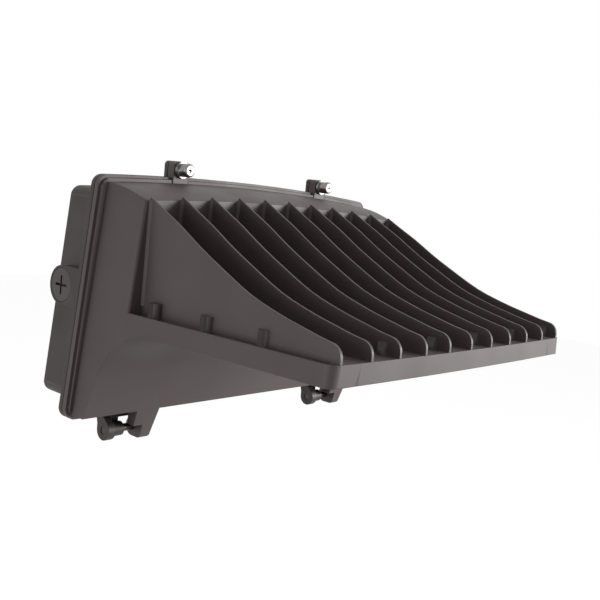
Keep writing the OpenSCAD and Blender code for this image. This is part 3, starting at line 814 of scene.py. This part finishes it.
class WALLPACK_OT_latches(bpy.types.Operator):
    """Round the latch washers, and make the latch screws with thread, rim and cross recess"""

    bl_idname = "wallpack.latches"
    bl_label = "Latches"

    def execute(self, context):
        edge = sizes().metal_edge
        for side in ("left", "right"):
            washer = "latch_washer_" + side
            finish_piece(softened(merged_copy(washer), edge), washer, stainless())
            node = "latch_screw_" + side
            low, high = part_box(node)
            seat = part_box(washer)[0][1]
            axis = Vector(((low[0] + high[0]) / 2, 0, (low[2] + high[2]) / 2))
            head = cut_off(merged_copy(node), (0, seat, 0), (0, 1, 0))
            tip = low[1]
            softened(head, sizes().head_rim, segments=6, chosen=lambda e: on_rim(e, axis, tip))
            # The faces in the cross recess are darkened with painted shade
            paint_recess_shade(head, axis + Vector((0, tip, 0)), Vector((0, -1, 0)), sizes().head_recess)
            rod = threaded_rod(
                sizes().latch_rod, sizes().latch_depth, sizes().latch_pitch, -high[1], edge - seat
            )
            turn = Matrix.Translation(axis) @ Matrix.Rotation(math.pi / 2, 4, "X")
            finish_piece(joined(head, rod, turn), node, stainless(), painted_recess_shade())
        return {"FINISHED"}


def paint_recess_shade(shell, place, outwards, reach):
    """Gives the second material, a painted shade, to the faces within a recess in an outer face
    round a place.
    """
    for face in shell.faces:
        step = face.calc_center_median() - place
        depth = -step.dot(outwards)
        aside = (step + outwards * depth).length
        if RECESS_START < depth < sizes().painted_shade_depth and aside < reach:
            face.material_index = 1


def on_rim(edge, axis, tip):
    """Whether an edge lies on the outer rim of a screw head's end face."""
    return all(
        abs(v.co.y - tip) < LEVEL_GAP
        and (v.co - axis - Vector((0, v.co.y, 0))).length > RIM_REACH
        for v in edge.verts
    )


class WALLPACK_OT_plugs(bpy.types.Operator):
    """Cut the thread of the conduit plugs and coat them"""

    bl_idname = "wallpack.plugs"
    bl_label = "Conduit plugs"

    def execute(self, context):
        for side, sign in (("left", -1), ("right", 1)):
            node = "conduit_plug_" + side
            low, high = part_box(node)
            seal_low, seal_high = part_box("plug_seal_" + side)
            seat = seal_low[0] if sign < 0 else seal_high[0]
            inner = high[0] if sign < 0 else low[0]
            axis = Vector((0, (low[1] + high[1]) / 2, (low[2] + high[2]) / 2))
            head = cut_off(merged_copy(node), (seat, 0, 0), (-sign, 0, 0))
            face = axis + Vector((low[0] if sign < 0 else high[0], 0, 0))
            radius = sizes().plug_rod
            softened(
                head,
                sizes().plate_edge,
                chosen=lambda e: (e.verts[0].co - axis).yz.length > radius,
            )
            # The faces in the plug's slot are darkened with painted shade
            paint_recess_shade(head, face, Vector((sign, 0, 0)), radius)
            end = abs(seat) + sizes().metal_edge
            rod = threaded_rod(radius, sizes().plug_depth, sizes().plug_pitch, abs(inner), end)
            turn = Matrix.Translation(axis) @ Matrix.Rotation(sign * math.pi / 2, 4, "Y")
            plug_coat = coat("powder_coat_plug", colours().plug_coat)
            finish_piece(joined(head, rod, turn), node, plug_coat, painted_recess_shade())
        return {"FINISHED"}


def finish_small_screws(node, material):
    """Rounds small screws half as much as the large metal pieces and finishes them."""
    finish_piece(softened(merged_copy(node), sizes().metal_edge / 2), node, material)


class WALLPACK_OT_light_board(bpy.types.Operator):
    """Round the light board and its screws, and set a domed chip in each light source's place"""

    bl_idname = "wallpack.light_board"
    bl_label = "Light board"

    def execute(self, context):
        board = softened(merged_copy("led_board"), sizes().metal_edge)
        finish_piece(board, "led_board", solder_resist())
        finish_small_screws("board_screws", zinc())
        base_height = sizes().chip_height
        radius = sizes().dome_radius
        chips = bmesh.new()
        for low, high in solid_boxes("led_packages"):
            centre = (low + high) / 2
            span = high - low
            base_z = high.z - base_height / 2
            base = bmesh.ops.create_cube(chips, size=1.0)["verts"]
            bmesh.ops.scale(chips, verts=base, vec=(span.x, span.y, base_height))
            bmesh.ops.translate(chips, verts=base, vec=(centre.x, centre.y, base_z))
            dome = bmesh.ops.create_uvsphere(
                chips, u_segments=12, v_segments=8, radius=1.0
            )["verts"]
            rise = span.z - base_height
            bmesh.ops.scale(chips, verts=dome, vec=(radius, radius, rise))
            bmesh.ops.translate(chips, verts=dome, vec=(centre.x, centre.y, high.z - base_height))
            for face in {f for v in dome for f in v.link_faces}:
                face.material_index = 1
        finish_piece(chips, "led_packages", ceramic(), phosphor())
        return {"FINISHED"}


def solid_boxes(node):
    """The lowest and highest corner of each solid of a node."""
    shell = merged_copy(node)
    boxes = []
    for island in islands(shell):
        places = [v.co for v in island]
        low, high = (Vector([pick(p[i] for p in places) for i in range(3)]) for pick in (min, max))
        boxes.append((low, high))
    shell.free()
    return sorted(boxes, key=lambda box: tuple(round(c, ORDER_DIGITS) for c in box[0]))


def islands(shell):
    """The separate solids of a shell, each as the set of its vertices."""
    left = set(shell.verts)
    found = []
    while left:
        island = flood(left.pop())
        left -= island
        found.append(island)
    return found


def flood(vert):
    """All the vertices that edges join to one."""
    found = {vert}
    waiting = [vert]
    while waiting:
        here = waiting.pop()
        for edge in here.link_edges:
            there = edge.other_vert(here)
            if there not in found:
                found.add(there)
                waiting.append(there)
    return found


class WALLPACK_OT_lens_unit(bpy.types.Operator):
    """Round the lens, its frame and its screws"""

    bl_idname = "wallpack.lens_unit"
    bl_label = "Lens"

    def execute(self, context):
        edge = sizes().plate_edge
        finish_piece(softened(merged_copy("lens"), edge), "lens", tempered_glass())
        door_coat = coat("powder_coat_door", colours().door_coat)
        finish_piece(softened(merged_copy("lens_frame"), edge), "lens_frame", door_coat)
        finish_small_screws("lens_frame_screws", zinc())
        return {"FINISHED"}


class WALLPACK_OT_driver(bpy.types.Operator):
    """Round the driver's case and its screws"""

    bl_idname = "wallpack.driver"
    bl_label = "Driver"

    def execute(self, context):
        # A folded sheet case is rounder at its edges than a plate
        case = softened(merged_copy("driver"), 2 * sizes().plate_edge)
        finish_piece(case, "driver", enamel())
        finish_small_screws("driver_screws", zinc())
        return {"FINISHED"}


class WALLPACK_OT_wiring(bpy.types.Operator):
    """Finish the terminal block, the leads in their colours and the earth screw"""

    bl_idname = "wallpack.wiring"
    bl_label = "Wiring"

    def execute(self, context):
        block = softened(merged_copy("terminal_block"), sizes().plate_edge)
        finish_piece(block, "terminal_block", nylon())
        for node, material in (("terminal_screws", zinc()), ("ground_screw", earth_green())):
            finish_small_screws(node, material)
        black = insulation("black_insulation", colours().black_lead)
        white = insulation("white_insulation", colours().white_lead)
        red = insulation("red_insulation", colours().red_lead)
        green = insulation("green_insulation", colours().earth)
        coloured_leads("output_leads", black, red)
        coloured_leads("input_leads", black, white, green)
        return {"FINISHED"}


def coloured_leads(node, *materials):
    """The leads of a node, each in its own colour, from front to back and then left to right."""
    shell = merged_copy(node)
    leads = sorted(
        islands(shell),
        key=lambda lead: [round(min(v.co[i] for v in lead), ORDER_DIGITS) for i in (1, 0)],
    )
    for i, lead in enumerate(leads):
        for face in {f for v in lead for f in v.link_faces}:
            face.material_index = i
    return finish_piece(shell, node, *materials, sharp=LEAD_SHADED_ANGLE)


class WALLPACK_PT_panel(bpy.types.Panel):
    """Lists the sizes, the colours and the steps"""

    bl_idname = "WALLPACK_PT_panel"
    bl_label = "Wall pack light"
    bl_space_type = "VIEW_3D"
    bl_region_type = "UI"
    bl_category = "Wall pack"

    def draw(self, context):
        for group in (context.scene.wall_pack_sizes, context.scene.wall_pack_colours):
            column = self.layout.column()
            for name in group.__annotations__:
                column.prop(group, name)
        for step in STEPS:
            self.layout.operator(step.bl_idname)


STEPS = (
    WALLPACK_OT_stage,
    WALLPACK_OT_castings,
    WALLPACK_OT_seals,
    WALLPACK_OT_hinge_pins,
    WALLPACK_OT_latches,
    WALLPACK_OT_plugs,
    WALLPACK_OT_light_board,
    WALLPACK_OT_lens_unit,
    WALLPACK_OT_driver,
    WALLPACK_OT_wiring,
)
CLASSES = (WallPackSizes, WallPackColours, *STEPS, WALLPACK_PT_panel)


def register():
    """Registers the classes and puts the settings on the scene."""
    for item in CLASSES:
        bpy.utils.register_class(item)
    bpy.types.Scene.wall_pack_sizes = PointerProperty(type=WallPackSizes)
    bpy.types.Scene.wall_pack_colours = PointerProperty(type=WallPackColours)


def unregister():
    """Takes the settings off the scene and removes the classes."""
    del bpy.types.Scene.wall_pack_colours
    del bpy.types.Scene.wall_pack_sizes
    for item in reversed(CLASSES):
        bpy.utils.unregister_class(item)


def main():
    """Registers the classes and runs every step in order."""
    register()
    for step in STEPS:
        group, name = step.bl_idname.split(".")
        getattr(getattr(bpy.ops, group), name)()


if __name__ == "__main__":
    main()
